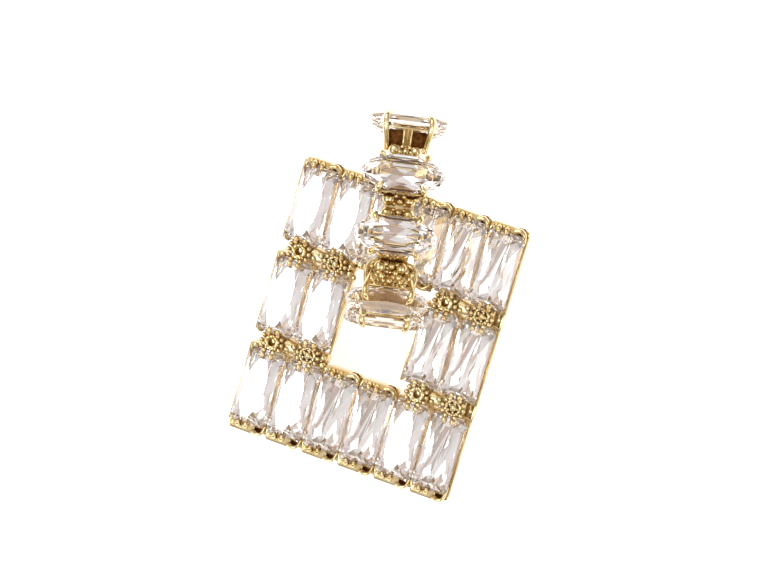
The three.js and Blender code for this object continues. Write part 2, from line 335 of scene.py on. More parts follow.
def ball(bm, centre, radius, flat=1.0):
    """Small bead, whose height is flattened by a factor."""
    place = Matrix.Translation(centre) @ Matrix.Diagonal((1, 1, flat, 1))
    bmesh.ops.create_icosphere(bm, subdivisions=3, radius=radius, matrix=place)


def around(count, radius, height):
    """Places evenly round a circle."""
    turns = [Matrix.Rotation(2 * math.pi * i / count, 3, "Z") for i in range(count)]
    return [turn @ Vector((radius, 0, height)) for turn in turns]


def rounded_frame(bm, width, length, low, high, wall, corner, soft):
    """Rectangular tube with rounded corners and soft rims."""
    before = set(bm.verts)
    place = Matrix.Translation((0, 0, (low + high) / 2)) @ Matrix.Diagonal((width, length, high - low, 1))
    cube = bmesh.ops.create_cube(bm, size=1, matrix=place)["verts"]
    soften(bm, [edge for edge in edges_at(cube) if rise(edge) > LEVEL], corner, segments=4)
    faces = {f for v in bm.verts if v not in before for f in v.link_faces}
    lids = [f for f in faces if abs(f.normal.z) > 0.9]
    for lid in lids:
        bmesh.ops.inset_individual(bm, faces=[lid], thickness=wall, depth=0, use_even_offset=True)
    # Each lid is now the smaller face inside its rim, where the tube opens
    loops = [edge for lid in lids for edge in lid.edges]
    bmesh.ops.delete(bm, geom=lids, context="FACES_ONLY")
    bmesh.ops.bridge_loops(bm, edges=loops)
    mine = edges_at(v for v in bm.verts if v not in before)
    soften(bm, [edge for edge in mine if rise(edge) < LEVEL and edge.calc_face_angle(0) > SHARP], soft)


# Materials


def add_node(tree, kind, settings=None, links=None):
    """Adds a shader node, sets its properties and sockets, and links its inputs."""
    node = tree.nodes.new(kind)
    for name, value in (settings or {}).items():
        if name in node.inputs:
            node.inputs[name].default_value = value
        else:
            setattr(node, name, value)
    for name, source in (links or {}).items():
        tree.links.new(source, node.inputs[name])
    return node


def set_stops(ramp, stops):
    """Gives a colour ramp its stops: positions and linear colours."""
    while len(ramp.elements) < len(stops):
        ramp.elements.new(1.0)
    for element, (position, shade) in zip(ramp.elements, stops):
        element.position = position
        element.color = shade


def new_material(name):
    """An empty material and its node tree."""
    material = bpy.data.materials.new(name)
    material.use_nodes = True
    tree = material.node_tree
    tree.nodes.clear()
    return material, tree


def gold_plate(name, colours, film_share):
    """Pale gold plated on polished brass: bright, with a fine tumbled grain, slightly uneven colour and
    painted shade in its hollows.
    """
    material, tree = new_material(name)
    where = add_node(tree, "ShaderNodeTexCoord").outputs["Object"]
    # Plating pools over about 2 mm
    pools = add_node(
        tree, "ShaderNodeTexNoise", {"Scale": 1 / (2.0 * MM), "Detail": 2.0}, {"Vector": where}
    )
    # Tumbling leaves a grain of about 0.06 mm, drawn at 0.35 mm so that it shows
    grain = add_node(
        tree, "ShaderNodeTexNoise", {"Scale": 1 / (0.35 * MM), "Detail": 3.0}, {"Vector": where}
    )
    tone = add_node(tree, "ShaderNodeValToRGB", links={"Fac": pools.outputs["Fac"]})
    set_stops(tone.color_ramp, ((0.35, colours.worn_gold), (0.65, colours.gold)))
    polish = add_node(
        tree,
        "ShaderNodeMapRange",
        {"From Min": 0.3, "From Max": 0.7, "To Min": 0.14, "To Max": 0.26},
        {"Value": grain.outputs["Fac"]},
    )
    bump = add_node(
        tree, "ShaderNodeBump", {"Strength": 0.12, "Distance": 0.02 * MM}, {"Height": grain.outputs["Fac"]}
    )
    # Painted shade: the colour darkens in hollows narrower than about 0.6 mm
    hollow = add_node(tree, "ShaderNodeAmbientOcclusion", {"Distance": 0.6 * MM, "samples": 6})
    painted_shade = add_node(
        tree,
        "ShaderNodeMapRange",
        {"From Min": 0.3, "From Max": 0.75, "To Min": film_share, "To Max": 0.0},
        {"Value": hollow.outputs["AO"]},
    )
    shaded_tone = add_node(tree, "ShaderNodeMix", {"data_type": "RGBA"})
    tree.links.new(painted_shade.outputs["Result"], shaded_tone.inputs["Factor"])
    tree.links.new(tone.outputs["Color"], shaded_tone.inputs[6])
    shaded_tone.inputs[7].default_value = colours.hollow_shade
    shader = add_node(
        tree,
        "ShaderNodeBsdfPrincipled",
        {"Metallic": 1.0},
        {
            "Base Color": shaded_tone.outputs[2],
            "Roughness": polish.outputs["Result"],
            "Normal": bump.outputs["Normal"],
        },
    )
    add_node(tree, "ShaderNodeOutputMaterial", links={"Surface": shader.outputs["BSDF"]})
    return material


def shade_brown(name, colours):
    """Painted shade inside the cups and in the ledges' curls: dull, dark brown and slightly pitted."""
    material, tree = new_material(name)
    where = add_node(tree, "ShaderNodeTexCoord").outputs["Object"]
    # Pits of about 0.1 mm, drawn at 0.25 mm so that they show
    pits = add_node(
        tree, "ShaderNodeTexNoise", {"Scale": 1 / (0.25 * MM), "Detail": 2.0}, {"Vector": where}
    )
    # Painted shade: two dark browns, mixed by the pits
    tone = add_node(tree, "ShaderNodeValToRGB", links={"Fac": pits.outputs["Fac"]})
    set_stops(tone.color_ramp, ((0.35, colours.shade), (0.65, colours.hollow_shade)))
    bump = add_node(
        tree, "ShaderNodeBump", {"Strength": 0.4, "Distance": 0.04 * MM}, {"Height": pits.outputs["Fac"]}
    )
    shader = add_node(
        tree,
        "ShaderNodeBsdfPrincipled",
        {"Metallic": 1.0, "Roughness": 0.4},
        {"Base Color": tone.outputs["Color"], "Normal": bump.outputs["Normal"]},
    )
    add_node(tree, "ShaderNodeOutputMaterial", links={"Surface": shader.outputs["BSDF"]})
    return material


def zirconia(name, colours, streak, ior):
    """Cubic zirconia, cut and polished: clear, very bright, with faint warm streaks of gold reflection
    painted into its colour.
    """
    material, tree = new_material(name)
    where = add_node(tree, "ShaderNodeTexCoord").outputs["Object"]
    # The painted warm streaks are about as wide as the given size, in mm
    streaks = add_node(
        tree, "ShaderNodeTexNoise", {"Scale": 1 / (streak * MM), "Detail": 1.0}, {"Vector": where}
    )
    # Painted reflection: the colour drifts from clear to a warm gold tint in streaks
    tone = add_node(tree, "ShaderNodeValToRGB", links={"Fac": streaks.outputs["Fac"]})
    set_stops(tone.color_ramp, ((0.4, colours.crystal), (0.7, colours.gold_reflection_paint)))
    polish = add_node(
        tree,
        "ShaderNodeMapRange",
        {"From Min": 0.3, "From Max": 0.7, "To Min": 0.0, "To Max": 0.02},
        {"Value": streaks.outputs["Fac"]},
    )
    shader = add_node(
        tree,
        "ShaderNodeBsdfPrincipled",
        {"Metallic": 0.0, "IOR": ior, "Transmission Weight": 1.0},
        {"Base Color": tone.outputs["Color"], "Roughness": polish.outputs["Result"]},
    )
    add_node(tree, "ShaderNodeOutputMaterial", links={"Surface": shader.outputs["BSDF"]})
    return material


def coated_board(colours):
    """Matt white board: almost flat white, with a barely uneven surface."""
    material, tree = new_material("white_board_matt")
    where = add_node(tree, "ShaderNodeTexCoord").outputs["Object"]
    # Clouds of fibres some 4 mm across
    fibres = add_node(
        tree, "ShaderNodeTexNoise", {"Scale": 1 / (4 * MM), "Detail": 4.0}, {"Vector": where}
    )
    bump = add_node(
        tree,
        "ShaderNodeBump",
        {"Strength": 0.05, "Distance": 0.05 * MM},
        {"Height": fibres.outputs["Fac"]},
    )
    shader = add_node(
        tree,
        "ShaderNodeBsdfPrincipled",
        {
            "Base Color": colours.floor,
            "Roughness": 0.6,
            "Emission Color": colours.floor,
            "Emission Strength": 0.75,
        },
        {"Normal": bump.outputs["Normal"]},
    )
    add_node(tree, "ShaderNodeOutputMaterial", links={"Surface": shader.outputs["BSDF"]})
    return material


def shared(context, name, make, **values):
    """A material that several pieces share, made the first time it is asked for."""
    return bpy.data.materials.get(name) or make(name, context.scene.earring_colours, **values)


def gold(context):
    """Gold of the open parts, with much painted shade in its hollows."""
    return shared(context, "gold_plated_brass_polished", gold_plate, film_share=0.6)


def lightly_shaded_gold(context):
    """Gold that lies under crystals or between beads, with little painted shade in its hollows."""
    return shared(context, "gold_plated_brass_bright", gold_plate, film_share=0.15)


def shade_gold(context):
    """Painted shade on the inner walls of the cups and in the ledges' curls."""
    return shared(context, "gold_plated_brass_as_cast", shade_brown)


def baguette_zirconia(context):
    """Clear stone of the drop, with the real stone's IOR."""
    return shared(context, "cubic_zirconia_baguette_cut", zirconia, streak=1.6, ior=2.15)


def marquise_zirconia(context):
    """Clear stone of the half hoop. Its IOR is below the real one, which shows more of its seat."""
    return shared(context, "cubic_zirconia_marquise_cut", zirconia, streak=1.2, ior=1.9)


# Square drop: each part takes the user's sizes and is in mm, with a tray's middle or a joint's
# middle at its origin, and the girdle of the crystals at z = 0


# Heights of a tray's rim and back, and the share of its width that it loses between them
TRAY_RIM = -1.2
TRAY_BACK = -2.4
TRAY_DRAFT = 0.05


def narrow_back(bm):
    """Draft of a cast tray: it narrows towards its back."""
    for vert in bm.verts:
        share = max(0.0, (TRAY_RIM - vert.co.z) / (TRAY_RIM - TRAY_BACK))
        vert.co.x *= 1 - TRAY_DRAFT * share


def tray(sizes):
    """Tray under one baguette: its walls, and a broader ledge round its open back."""
    bm = bmesh.new()
    rounded_frame(
        bm,
        width=COLUMN_PITCH + 0.02,
        length=6.3,
        low=TRAY_BACK,
        high=TRAY_RIM,
        wall=sizes.wall / MM,
        corner=sizes.corner / MM,
        soft=0.07,
    )
    rounded_frame(
        bm,
        width=COLUMN_PITCH - 0.2,
        length=6.1,
        low=TRAY_BACK + 0.04,
        high=TRAY_BACK + 0.35,
        wall=0.5,
        corner=0.35,
        soft=0.05,
    )
    narrow_back(bm)
    return bm


def lean(bm, top, shift):
    """Leans the outer faces of a wall: shifts each corner in proportion to its depth below the top."""
    for vert in bm.verts:
        vert.co += Vector(shift) * max(0.0, top - vert.co.z)


def long_wall(sizes, length):
    """Wall along a tray's free side, towards +x, up to just under the crystal's edge."""
    bm = bmesh.new()
    thick = sizes.side / MM
    block(bm, (thick, length, 1.3), (1.5 + thick / 2, 0, -1.0), soft=0.04)
    lean(bm, -0.35, (-0.14, 0, 0))
    return bm


def side_wall(sizes):
    """Wall along the free side of one tray."""
    return long_wall(sizes, 6.5)


def end_ledge(sizes, extra=0.0):
    """Free end of a tray, towards +y: a flat ledge whose corners curl round the crystal."""
    bm = bmesh.new()
    depth = sizes.end / MM + extra
    lip = BAGUETTE_END + depth
    body = (COLUMN_PITCH - 0.06, depth + 0.06, 1.3)
    block(bm, body, (0, BAGUETTE_END + depth / 2, -1.75), soft=0.06, corner=0.3)
    narrow_back(bm)
    block(bm, (2.05, depth, 1.15), (-0.36, 3.03 + depth / 2, -0.6), soft=0.1, corner=0.2)
    lean(bm, -0.1, (0, -0.2, 0))
    wide_curl = [
        (0.55, lip - 0.24, -0.1),
        (0.95, lip - 0.1, -0.05),
        (1.28, lip - 0.3, -0.05),
        (1.4, 2.95, -0.15),
        (1.42, 2.55, -0.4),
    ]
    path = smooth_path(wide_curl, 4)
    radii = [0.2 - 0.08 * i / (len(path) - 1) for i in range(len(path))]
    sweep(bm, path, [(radius, 1.6 * radius) for radius in radii], segments=12)
    small_curl = [(-1.3, lip - 0.25, -0.2), (-1.42, 2.9, -0.2), (-1.42, 2.5, -0.4)]
    path = smooth_path(small_curl, 4)
    sweep(bm, path, [(0.15, 0.2)] * len(path), segments=12)
    return bm


def bottom_ledge(sizes):
    """Ledge along the drop's lower edge, a little deeper than at the top."""
    return end_ledge(sizes, 0.15)


def window_ledge(sizes):
    """Ledge along the window's upper edge, shallow so that the hoop's rail clears it."""
    return end_ledge(sizes, -0.16)


def lower_step(sizes):
    """Step below a bottom ledge, towards +y, that runs on into the next tray's."""
    bm = bmesh.new()
    depth = sizes.end / MM + 0.25
    block(bm, (COLUMN_PITCH, depth, 0.9), (0, BAGUETTE_END + depth / 2, -1.6), soft=0.12)
    return bm


def corner_shade_patch(sizes):
    """Small dark block of painted shade in the hollow that a ledge's curl leaves, towards +y."""
    bm = bmesh.new()
    block(bm, (0.62, 0.6, 0.2), (0.94, 3.33, -0.62), soft=0.04, corner=0.15)
    return bm


def corner_pads(sizes):
    """Soldered pads under the tray corners at a joint on the drop's left side."""
    bm = bmesh.new()
    for end in (1, -1):
        block(bm, (0.5, 0.7, 1.0), (-1.28, 0.9 * end, -0.75), soft=0.12, corner=0.2)
        ball(bm, (-1.2, 0.78 * end, -0.22), 0.34, flat=0.7)
    return bm


def end_claws(sizes):
    """Two claws at a free end, towards +y, off centre, that bend over the crystal's end."""
    bm = bmesh.new()
    radius = sizes.claw / MM
    for x in (-0.72, -0.08):
        points = [(x, 3.28, -0.7), (x, 3.3, 0.05), (x + 0.02, 3.14, 0.36), (x + 0.04, 2.88, 0.46)]
        path = smooth_path(points, 3)
        sweep(bm, path, rounded(len(path), radius))
        ball(bm, (x - 0.3, 3.4, -0.02), 0.7 * radius)
    return bm


def joint_cluster(sizes, rim, depth):
    """Soldered cluster between two trays: a pad with a hollow in it, ringed by claws and beads."""
    bm = bmesh.new()
    bead = sizes.bead / MM
    edge = JOINT_GAP / 2
    block(bm, (1.75, JOINT_GAP + 0.1, 1.6), (0, 0, -1.4), soft=0.08, corner=0.25)
    hollow_pad(bm, (1.4, 1.5, 0.9), (0, 0, -0.24), rim, depth)
    for side in (1, -1):
        for end in (1, -1):
            ball(bm, (0.34 * side, (edge + 0.2) * end, 0.46), bead * 0.92)
            ball(bm, (0.38 * side, (edge - 0.1) * end, 0.22), bead * 0.85)
            ball(bm, (0.72 * side, 0.44 * end, 0.08), bead * 0.8)
        ball(bm, (0.84 * side, 0, 0.1), bead * 0.8)
    for i, place in enumerate(around(9, 0.56, 0.22)):
        ball(bm, place, bead * (0.42 + 0.1 * (i % 3)))
    return bm


def hollow_cluster(sizes):
    """Cluster whose pad is deeply hollow."""
    return joint_cluster(sizes, rim=0.48, depth=0.7)


def beaded_cluster(sizes):
    """Cluster with one bead and five small ones in the pad's shallow hollow."""
    bm = joint_cluster(sizes, rim=0.3, depth=0.3)
    bead = sizes.bead / MM
    ball(bm, (0.05, 0.02, 0.16), bead * 1.2)
    for place in around(5, 0.36, 0.22):
        ball(bm, place, bead * 0.5)
    return bm


def window_beads(sizes):
    """Beads that close a joint towards the window."""
    bm = bmesh.new()
    bead = sizes.bead / MM
    block(bm, (0.9, 0.9, 1.2), (1.15, -0.1, -1.0), soft=0.12, corner=0.3)
    ball(bm, (1.3, -0.4, -0.08), bead * 1.15)
    ball(bm, (1.22, 0.16, -0.12), bead)
    ball(bm, (1.68, -0.62, -0.2), bead)
    return bm


def edge_joint(sizes):
    """Stretch of the drop's right wall that crosses a joint."""
    bm = long_wall(sizes, JOINT_GAP)
    block(bm, (0.9, JOINT_GAP, 0.8), (1.1, 0, -1.8), soft=0.08)
    ball(bm, (1.28, 0.0, -0.6), sizes.bead / MM)
    return bm


def joint_bridge(sizes):
    """Gold between two joints of neighbouring columns, with the middle between them at its origin."""
    bm = bmesh.new()
    bead = sizes.bead / MM
    block(bm, (1.5, 0.86, 1.9), (0, 0, -1.1), soft=0.14, corner=0.3)
    ball(bm, (0.28, 0.2, -0.1), bead)
    ball(bm, (-0.28, -0.16, -0.08), bead * 0.9)
    ball(bm, (0.5, -0.3, -0.1), bead * 0.6)
    return bm


class EARRING_OT_drop_setting(bpy.types.Operator):
    """Trays, claws and soldered joints of the square drop"""

    bl_idname = "earring.drop_setting"
    bl_label = "Drop setting"

    def execute(self, context):
        sizes = context.scene.earring_sizes
        upside_down = Matrix.Diagonal((1, -1, 1, 1))
        mirrored = Matrix.Diagonal((-1, 1, 1, 1))
        below = Matrix.Translation((0, -ROW_PITCH / 2, 0))
        beside = Matrix.Translation((COLUMN_PITCH / 2, 0, 0))

        trays = {cell: baguette_place(*cell) for cell in CELLS}
        tops = [trays[c, r] for c, r in CELLS if (c, r - 1) not in CELLS]
        free_below = [(c, r) for c, r in CELLS if (c, r + 1) not in CELLS]
        bottoms = [trays[c, r] @ upside_down for c, r in free_below if r == LOWEST_ROW]
        above_window = [trays[c, r] @ upside_down for c, r in free_below if r < LOWEST_ROW]
        ends = tops + bottoms + above_window
        sides = [trays[c, r] for c, r in CELLS if (c + 1, r) not in CELLS]
        sides += [trays[c, r] @ mirrored for c, r in CELLS if (c - 1, r) not in CELLS]
        bridges = [trays[c, r] @ below @ beside for c, r in JOINTS if (c + 1, r) in JOINTS]

        def joints(*columns):
            """Places of the joints in these columns. The window lies between columns 2 and 5."""
            return [trays[c, r] @ below for c, r in JOINTS if c in columns]

        for name, part, places, metal, sharp in (
            ("drop_trays", tray, trays.values(), lightly_shaded_gold, 40),
            ("drop_side_walls", side_wall, sides, gold, 40),
            ("drop_top_ledges", end_ledge, tops, gold, 40),
            ("drop_bottom_ledges", bottom_ledge, bottoms, gold, 40),
            ("drop_window_ledges", window_ledge, above_window, gold, 40),
            ("drop_lower_steps", lower_step, bottoms, gold, 40),
            # Painted shade: dark blocks in the curls of the ledges
            ("drop_corner_shade", corner_shade_patch, ends, shade_gold, 40),
            ("drop_corner_pads", corner_pads, joints(1), gold, 50),
            ("drop_claws", end_claws, ends, gold, 60),
            ("drop_hollow_clusters", hollow_cluster, joints(1, 5), gold, 50),
            ("drop_beaded_clusters", beaded_cluster, joints(2, 6), gold, 50),
            ("drop_window_beads", window_beads, joints(2), gold, 50),
            ("drop_edge_joints", edge_joint, joints(6), gold, 40),
            ("drop_bridges", joint_bridge, bridges, gold, 50),
        ):
            nodes = ["drop_setting"] if part is tray else []
            finish_piece(name, copies(part(sizes), places), metal(context), nodes, sharp)
        return {"FINISHED"}


# Half hoop: the parts of a cup are in mm, with the girdle of its crystal at z = 0


# Heights of a cup's back and of the middle of the rail behind it, and half the rail's width and depth
CUP_BACK = -2.3
RAIL_MIDDLE = -2.5
RAIL_SECTION = (1.2, 0.25)

# The cup with a cluster of beads over it, and the cups whose inner walls show, from the ear post on
BEADED_CUP = 4
OPEN_CUPS = (1, 2, 3)

# Beads round the foot of a cup: place and radius
CUP_BEADS = (
    (-0.85, 1.42, -2.2, 0.5),
    (0.02, 1.55, -2.25, 0.3),
    (0.78, 1.45, -2.2, 0.46),
    (-0.3, 1.2, -1.95, 0.2),
    (0.3, 1.2, -1.98, 0.22),
    (1.22, 1.3, -2.0, 0.22),
    (-0.42, 1.72, -2.3, 0.2),
    (0.42, 1.74, -2.3, 0.18),
)

# Ear post: how far its foot lies behind the back of the cup that faces the front, then distances
# from the foot and the radius at each, in mm
POST_BEHIND = 4.6
POST_SHAFT = ((0, 0.4), (5.0, 0.4), (10.9, 0.4), (11.2, 0.33), (11.4, 0.22))


def cup(sizes):
    """Claw cup of a marquise: a base ring, gallery bars, columns, claws and beads round its foot."""
    bm = bmesh.new()
    claw = sizes.cup_claw / MM
    rounded_frame(bm, width=3.3, length=2.2, low=CUP_BACK, high=-1.9, wall=0.4, corner=0.45, soft=0.08)
    for side in (1, -1):
        block(bm, (3.4, 0.18, 0.16), (0, 1.37 * side, -0.46), soft=0.05)
        sweep(
            bm,
            [(0, 0.98 * side, -2.0), (0, 1.1 * side, -1.3), (0, 1.36 * side, -0.45)],
            [(0.4, 0.14), (0.34, 0.14), (0.4, 0.14)],
            segments=12,
            square=0.6,
        )
        for end in (1, -1):
            points = [
                (1.45 * end, 0.95 * side, -2.2),
                (1.56 * end, 1.14 * side, -1.4),
                (1.7 * end, 1.38 * side, -0.6),
                (1.76 * end, 1.47 * side, 0.0),
                (1.68 * end, 1.3 * side, 0.44),
                (1.44 * end, 0.92 * side, 0.64),
            ]
            path = smooth_path(points, 3)
            sweep(bm, path, rounded(len(path), claw))
        for x, y, z, bead in CUP_BEADS:
            ball(bm, (x, y * side, z), bead)
    return bm


def cup_cluster():
    """Beads over one side of a cup, towards +y, in rows that are a little uneven, between two arches."""
    bm = bmesh.new()
    block(bm, (3.2, 0.2, 1.8), (0, 1.02, -1.5), soft=0.06)
    for row in range(5):
        for i in range(8):
            x = (i - 3.5 + 0.4 * (row % 2)) * 0.43
            wave = math.sin(2.3 * i + 1.7 * row)
            ball(bm, (x, 1.14 + 0.09 * wave, -0.7 - 0.42 * row + 0.07 * wave), 0.22 + 0.07 * wave)
    for side in (1, -1):
        arch = [
            (1.72 * side, 1.2, -0.5),
            (1.86 * side, 1.22, -1.4),
            (1.8 * side, 1.3, -2.2),
            (1.35 * side, 1.4, -2.62),
            (0.8 * side, 1.45, -2.5),
        ]
        path = smooth_path(arch, 4)
        sweep(bm, path, rounded(len(path), 0.2))
    return bm


def cup_lining():
    """Gold with little painted shade right under a crystal: the floor and the long sides of its seat."""
    bm = bmesh.new()
    block(bm, (3.0, 1.74, 0.12), (0, 0, -1.66), soft=0.04)
    for side in (1, -1):
        block(bm, (3.0, 0.08, 1.2), (0, 0.82 * side, -1.3), soft=0.02)
    return bm


def cup_well():
    """Inner walls of a cup behind its windows, up to the crystal's underside, dark with painted shade."""
    bm = bmesh.new()
    for side in (1, -1):
        block(bm, (2.8, 0.09, 1.55), (0, 0.9 * side, -1.4), soft=0.03)
    return bm


def rail(cups):
    """Flat rail behind all the cups, which runs on past the first and the last. In mm."""
    before = [(0, 1.8, RAIL_MIDDLE)]
    after = [(0, -1.6, RAIL_MIDDLE - 0.25), (0, -3.1, RAIL_MIDDLE - 0.5)]
    points = [cups[0] @ Vector(point) for point in before]
    points += [place @ Vector((0, 0, RAIL_MIDDLE)) for place in cups]
    points += [cups[-1] @ Vector(point) for point in after]
    path = [point / MM for point in smooth_path(points, 5)]
    bm = bmesh.new()
    sweep(bm, path, [RAIL_SECTION] * len(path), segments=16, square=0.5, across=HOOP_TURN.col[0])
    return bm


def ear_post(cups):
    """Ear post: leaves the rail's back level with the first cup, straight towards the ear. In mm."""
    front = HOOP_TURN.col[2]
    front_cup = cups[CUP_ANGLES.index(0)]
    level = (front_cup @ Vector((0, 0, CUP_BACK))).dot(front) - POST_BEHIND * MM
    foot = cups[0] @ Vector((0, 0, RAIL_MIDDLE))
    foot += front * (level - foot.dot(front))
    path = [foot / MM - front * distance for distance, _ in POST_SHAFT]
    bm = bmesh.new()
    sweep(bm, path, [(radius, radius) for _, radius in POST_SHAFT], segments=16)
    return bm


class EARRING_OT_hoop_setting(bpy.types.Operator):
    """Cups, rail and ear post of the half hoop"""

    bl_idname = "earring.hoop_setting"
    bl_label = "Hoop setting"

    def execute(self, context):
        cups = [marquise_place(number) for number in CUPS]
        beaded = [marquise_place(BEADED_CUP)]
        open_cups = [marquise_place(number) for number in OPEN_CUPS]
        as_it_lies = [Matrix.Scale(MM, 4)]
        for name, part, places, metal, nodes, sharp in (
            ("hoop_cups", cup(context.scene.earring_sizes), cups, gold, ["hoop_setting"], 50),
            ("hoop_bead_cluster", cup_cluster(), beaded, lightly_shaded_gold, [], 50),
            ("hoop_cup_linings", cup_lining(), cups, lightly_shaded_gold, [], 40),
            # Painted shade: the inner walls behind the open cups' windows are dark brown
            ("hoop_cup_wells", cup_well(), open_cups, shade_gold, [], 40),
            ("hoop_rail", rail(cups), as_it_lies, gold, [], 50),
            ("ear_post", ear_post(cups), as_it_lies, gold, [], 40),
        ):
            finish_piece(name, copies(part, places), metal(context), nodes, sharp)
        return {"FINISHED"}


# Crystals: in mm, with the girdle at z = 0


# Facet rings of a marquise from the table down: height, half width, half length, how many
# corners and how far they are turned, in parts of a corner
MARQUISE_RINGS = (
    (0.52, 0.9, 2.2, 8, 0.0),
    (0.34, 1.25, 2.9, 8, 0.5),
    (0.1, 1.5, 3.15, 16, 0.5),
    (-0.12, 1.5, 3.15, 16, 0.5),
    (-0.75, 0.95, 2.7, 8, 0.5),
    (-1.5, 0.05, 0.8, 4, 0.0),
)


# A ring's tips are drawn out by this factor and cut off at its full length, which leaves them blunt
TIP_REACH = 1.08
# Power by which a ring narrows towards its tips: 0 would leave an ellipse
TIP_TAPER = 0.3


def boat_ring(bm, height, half_width, half_length, corners, turn):
    """Corners of a boat shape with two blunt tips along x."""
    ring = bmesh.ops.create_circle(
        bm, segments=corners, radius=1.0, matrix=Matrix.Rotation(2 * math.pi * turn / corners, 4, "Z")
    )["verts"]
    for vert in ring:
        along = max(-1.0, min(1.0, TIP_REACH * vert.co.x))
        across = vert.co.y * abs(vert.co.y) ** TIP_TAPER
        vert.co = (half_length * along, half_width * across, height)


def hull(bm):
    """Closes a cloud of corners into one faceted crystal."""
    bmesh.ops.delete(bm, geom=bm.edges[:], context="EDGES_FACES")
    made = bmesh.ops.convex_hull(bm, input=bm.verts)
    inside = [v for v in made["geom_interior"] if isinstance(v, bmesh.types.BMVert)]
    bmesh.ops.delete(bm, geom=inside, context="VERTS")
    bmesh.ops.dissolve_limit(bm, angle_limit=math.radians(0.5), verts=bm.verts, edges=bm.edges)


# Quarter outline of a baguette's table, a lens with blunt ends: half width and half length, in mm
TABLE = ((0.3, 2.45), (0.58, 1.75), (0.8, 0.9), (0.87, 0.0))
TABLE_HEIGHT = 0.55
# The table lies a little left of the middle and is turned a little, in mm and mm per mm
TABLE_SHIFT = -0.22
TABLE_SKEW = 0.045
# Half the thickness of the girdle
GIRDLE = 0.07
# Steps of the crown and the pavilion below the table: height, half width, half length, and how
# much of the length the cut corners take
BAGUETTE_STEPS = (
    (0.36, 1.22, 2.72, 0.5),
    (GIRDLE, 1.505, 3.1, 0.36),
    (-GIRDLE, 1.505, 3.1, 0.36),
    (-0.48, 1.17, 2.8, 0.25),
    (-1.0, 0.6, 2.45, 0.1),
    (-1.5, 0.03, 2.0, 0.0),
)
# Half width of a step at which its corners would be cut as much across as along
EVEN_CUT = 1.8
# The pavilion twists a little towards its keel, in mm per mm of length and depth
KEEL_SKEW = 0.06


def baguette():
    """Baguette cut: a lens-shaped table, stepped sides, cut corners and a straight keel."""
    bm = bmesh.new()
    for x in (1, -1):
        for y in (1, -1):
            for wide, long in TABLE:
                centre = TABLE_SHIFT + TABLE_SKEW * long * y
                bmesh.ops.create_vert(bm, co=(centre + wide * x, long * y, TABLE_HEIGHT))
            for height, wide, long, corner in BAGUETTE_STEPS:
                turn = KEEL_SKEW * long * y * max(0.0, -height - GIRDLE)
                narrow = wide - corner * wide / EVEN_CUT
                bmesh.ops.create_vert(bm, co=(wide * x + turn, (long - corner) * y, height))
                bmesh.ops.create_vert(bm, co=(narrow * x + turn, long * y, height))
    bmesh.ops.remove_doubles(bm, verts=bm.verts, dist=1e-4)
    hull(bm)
    return bm


def marquise():
    """Marquise cut: a boat with a pointed table, kite facets and a short keel."""
    bm = bmesh.new()
    for ring in MARQUISE_RINGS:
        boat_ring(bm, *ring)
    hull(bm)
    return bm


class EARRING_OT_crystals(bpy.types.Operator):
    """Baguette and marquise crystals"""

    bl_idname = "earring.crystals"
    bl_label = "Crystals"

    def execute(self, context):
        baguettes = {f"baguette_{column}_{row}": crystal_place(column, row) for column, row in CELLS}
        marquises = {f"marquise_{number}": marquise_place(number) for number in CUPS}
        for name, part, places, stone, slot_name in (
            ("baguette_crystals", baguette(), baguettes, baguette_zirconia, "baguette_crystal"),
            ("marquise_crystals", marquise(), marquises, marquise_zirconia, "marquise_crystal"),
        ):
            finish_piece(name, copies(part, places.values()), stone(context), list(places))
        return {"FINISHED"}


# Stage


# Studio dome: brightness by height, from the horizon to straight up, and by side, from left to right
DOME = ((0.0, "#C9C8C5"), (0.25, "#84807D"), (0.5, "#C6C2BE"), (0.72, "#FFFDFB"))
PANELS = (
    (0.0, "#FFFFFF"),
    (0.56, "#FFFFFF"),
    (0.6, "#DDCBC0"),
    (0.68, "#D2BEB2"),
    (0.72, "#F8F3F1"),
    (1.0, "#FFFFFF"),
)
DOME_STRENGTH = 0.86

# Softboxes: name, place, width and height in m, power in W, and roll in degrees; and what they face
SOFTBOXES = (
    ("mirror", (-0.157, -0.3535, 0.516), 0.13, 0.14, 0.75, 27),
    ("key", (-0.25, 0.22, 0.45), 0.3, 0.3, 1.0, 0),
    ("fill", (0.35, -0.15, 0.35), 0.3, 0.3, 0.5, 0),
)
SOFTBOX_AIM = (0, 0, 0.008)

# How far the floor reaches from the middle to each side, in m
FLOOR_REACH = 0.6

# Camera: place in mm, direction that is up in its frame, and lens and sensor in mm
CAMERA_PLACE = (50.06, -23.63, 290.4)
CAMERA_UP = (-0.32706, 0.93335, 0.14797)
LENS = 175
SENSOR = 36

# Light passes many facets before it leaves a crystal
BOUNCES = 32


def board_floor(colours):
    """The white board, at z = 0."""
    bm = bmesh.new()
    bmesh.ops.create_grid(bm, x_segments=8, y_segments=8, size=FLOOR_REACH)
    mesh = bpy.data.meshes.new("floor")
    bm.to_mesh(mesh)
    bm.free()
    mesh.materials.append(coated_board(colours))
    floor = bpy.data.objects.new("floor", mesh)
    bpy.context.scene.collection.objects.link(floor)


